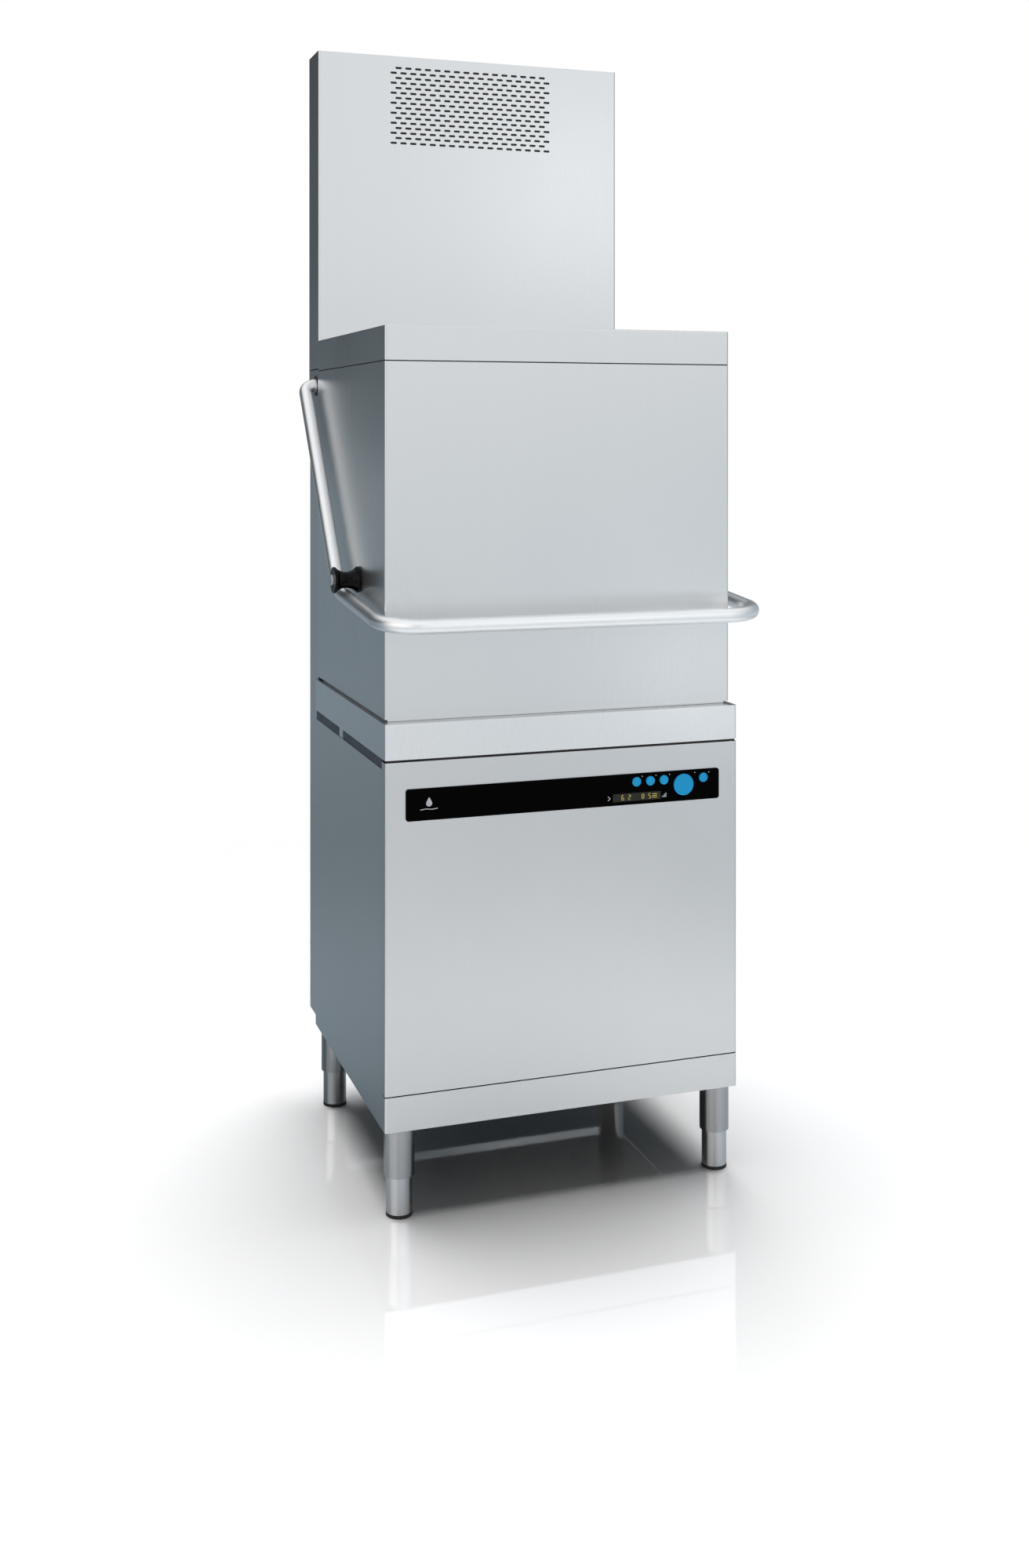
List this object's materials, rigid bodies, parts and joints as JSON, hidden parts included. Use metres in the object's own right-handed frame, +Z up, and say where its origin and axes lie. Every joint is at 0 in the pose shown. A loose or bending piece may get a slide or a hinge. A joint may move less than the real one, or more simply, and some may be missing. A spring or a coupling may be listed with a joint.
{
  "type": "pass-through hood dishwasher",
  "caption": "Free-standing hood-type commercial dishwasher with a lifting hood, wrap-round handle bar, black control strip and vented rear column.",
  "frame": {"origin": "on the floor, under the centre of the overall footprint (lifting bar front to column back)", "axes": "+Z up, front with the controls facing -Y, X to the right seen from the front"},
  "size_m": [0.727, 0.724, 2.034],
  "materials": {
    "steel_panel": "fine satin-brushed stainless sheet",
    "steel_hood": "fine satin-brushed stainless sheet",
    "steel_inner": "satin stainless, water-stained inside",
    "steel_tube": "satin polished stainless tube",
    "steel_foot": "satin stainless tube",
    "steel_rail": "zinc-plated bent sheet",
    "spring_steel": "oiled spring wire",
    "fastener": "plain stainless screws",
    "rubber_black": "black moulded rubber",
    "gloss_black": "glossy black control fascia",
    "roller_black": "glossy black moulded roller",
    "button_blue": "glossy blue button",
    "display_dark": "dark display window",
    "board_green": "circuit board with switches",
    "plastic_white": "natural low-friction plastic",
    "plastic_grey": "grey moulded plastic",
    "plastic_black": "black moulded plastic",
    "pump_paint": "dark grey enamelled motor body",
    "alu_fins": "bare aluminium fins and tubes",
    "brass_valve": "brass valve body"
  },
  "bodies": {
    "cabinet": {"base_frame": "steel_foot", "side_panel_left": "steel_panel", "side_panel_right": "steel_panel", "front_panel": "steel_panel", "kick_panel": "steel_panel", "rim_frame": "steel_panel", "wash_tank": "steel_inner", "tank_strainers": "steel_inner", "pump_filter": "steel_inner", "rack_guide": "steel_tube", "chamber_rear_wall": "steel_inner", "column_lower_front": "steel_inner", "column_sides": "steel_panel", "column_front_panel": "steel_hood", "column_rear_upper": "steel_panel", "column_rear_lower": "steel_panel", "column_top_cap": "steel_panel", "cover_screws": "fastener", "hood_rails": "steel_rail", "pivot_bushes": "plastic_black", "wash_riser": "steel_inner", "wash_pump": "pump_paint", "rinse_boiler": "steel_inner", "rinse_pump": "pump_paint", "tank_heater": "steel_inner", "heat_exchanger": "alu_fins", "fan_housing": "plastic_black", "drain_spigot": "plastic_grey", "water_inlet": "brass_valve", "cable_gland": "plastic_grey", "control_strip": "gloss_black", "display_window": "display_dark", "control_board": "board_green"},
    "hood": {"hood_shell": "steel_hood", "hood_cap": "steel_hood", "hood_carriages": "steel_rail", "glide_shoes": "plastic_white", "spool_axles": "fastener", "lift_springs": "spring_steel"},
    "handle": {"handle_bail": "steel_tube"},
    "roller_left": {"spool_left": "roller_black"},
    "roller_right": {"spool_right": "roller_black"},
    "fan_wheel": {"fan_impeller": "plastic_black"},
    "wash_arm_lower": {"wash_arm_lower": "steel_inner"},
    "wash_arm_upper": {"wash_arm_upper": "steel_inner"},
    "rinse_arm_lower": {"rinse_arm_lower": "steel_tube"},
    "rinse_arm_upper": {"rinse_arm_upper": "steel_tube"},
    "start_button": {"start_button": "button_blue"},
    "button_1": {"button_1": "button_blue"},
    "button_2": {"button_2": "button_blue"},
    "button_3": {"button_3": "button_blue"},
    "button_4": {"button_4": "button_blue"},
    "foot_front_left": {"foot_front_left": "steel_foot", "pad_front_left": "rubber_black"},
    "foot_front_right": {"foot_front_right": "steel_foot", "pad_front_right": "rubber_black"},
    "foot_rear_left": {"foot_rear_left": "steel_foot", "pad_rear_left": "rubber_black"},
    "foot_rear_right": {"foot_rear_right": "steel_foot", "pad_rear_right": "rubber_black"}
  },
  "joints": [
    {"name": "hood_lift", "type": "slide", "parent": "cabinet", "child": "hood", "axis": [0, 0, 1], "range_m": [0, 0.44], "deforming": ["lift_springs"]},
    {"name": "handle_pivot", "type": "hinge", "parent": "cabinet", "child": "handle", "pos_m": [0, 0.288, 1.383], "axis": [-1, 0, 0], "range_deg": [0, 53.2]},
    {"name": "roller_left_spin", "type": "hinge", "parent": "hood", "child": "roller_left", "pos_m": [-0.336, -0.07, 1.035], "axis": [1, 0, 0], "continuous": true},
    {"name": "roller_right_spin", "type": "hinge", "parent": "hood", "child": "roller_right", "pos_m": [0.336, -0.07, 1.035], "axis": [1, 0, 0], "continuous": true},
    {"name": "wash_arm_lower_spin", "type": "hinge", "parent": "cabinet", "child": "wash_arm_lower", "pos_m": [0, 0, 0.788], "axis": [0, 0, 1], "continuous": true},
    {"name": "wash_arm_upper_spin", "type": "hinge", "parent": "cabinet", "child": "wash_arm_upper", "pos_m": [0, 0, 1.288], "axis": [0, 0, 1], "continuous": true},
    {"name": "rinse_arm_lower_spin", "type": "hinge", "parent": "cabinet", "child": "rinse_arm_lower", "pos_m": [0, 0, 0.809], "axis": [0, 0, 1], "continuous": true},
    {"name": "rinse_arm_upper_spin", "type": "hinge", "parent": "cabinet", "child": "rinse_arm_upper", "pos_m": [0, 0, 1.267], "axis": [0, 0, 1], "continuous": true},
    {"name": "fan_spin", "type": "hinge", "parent": "cabinet", "child": "fan_wheel", "pos_m": [0, 0.306, 1.933], "axis": [0, 1, 0], "continuous": true},
    {"name": "start_button_press", "type": "slide", "parent": "cabinet", "child": "start_button", "axis": [0, 1, 0], "range_m": [0, 0.0015], "stiffness_N_per_m": 600, "springref_m": -0.001},
    {"name": "button_1_press", "type": "slide", "parent": "cabinet", "child": "button_1", "axis": [0, 1, 0], "range_m": [0, 0.0015], "stiffness_N_per_m": 600, "springref_m": -0.001},
    {"name": "button_2_press", "type": "slide", "parent": "cabinet", "child": "button_2", "axis": [0, 1, 0], "range_m": [0, 0.0015], "stiffness_N_per_m": 600, "springref_m": -0.001},
    {"name": "button_3_press", "type": "slide", "parent": "cabinet", "child": "button_3", "axis": [0, 1, 0], "range_m": [0, 0.0015], "stiffness_N_per_m": 600, "springref_m": -0.001},
    {"name": "button_4_press", "type": "slide", "parent": "cabinet", "child": "button_4", "axis": [0, 1, 0], "range_m": [0, 0.0015], "stiffness_N_per_m": 600, "springref_m": -0.001},
    {"name": "foot_front_left_screw", "type": "slide", "parent": "cabinet", "child": "foot_front_left", "axis": [0, 0, -1], "range_m": [0, 0.04]},
    {"name": "foot_front_right_screw", "type": "slide", "parent": "cabinet", "child": "foot_front_right", "axis": [0, 0, -1], "range_m": [0, 0.04]},
    {"name": "foot_rear_left_screw", "type": "slide", "parent": "cabinet", "child": "foot_rear_left", "axis": [0, 0, -1], "range_m": [0, 0.04]},
    {"name": "foot_rear_right_screw", "type": "slide", "parent": "cabinet", "child": "foot_rear_right", "axis": [0, 0, -1], "range_m": [0, 0.04]}
  ],
  "couplings": [
    {"joint": "handle_pivot", "follows": "hood_lift", "rad_per_m": 2.11}
  ]
}
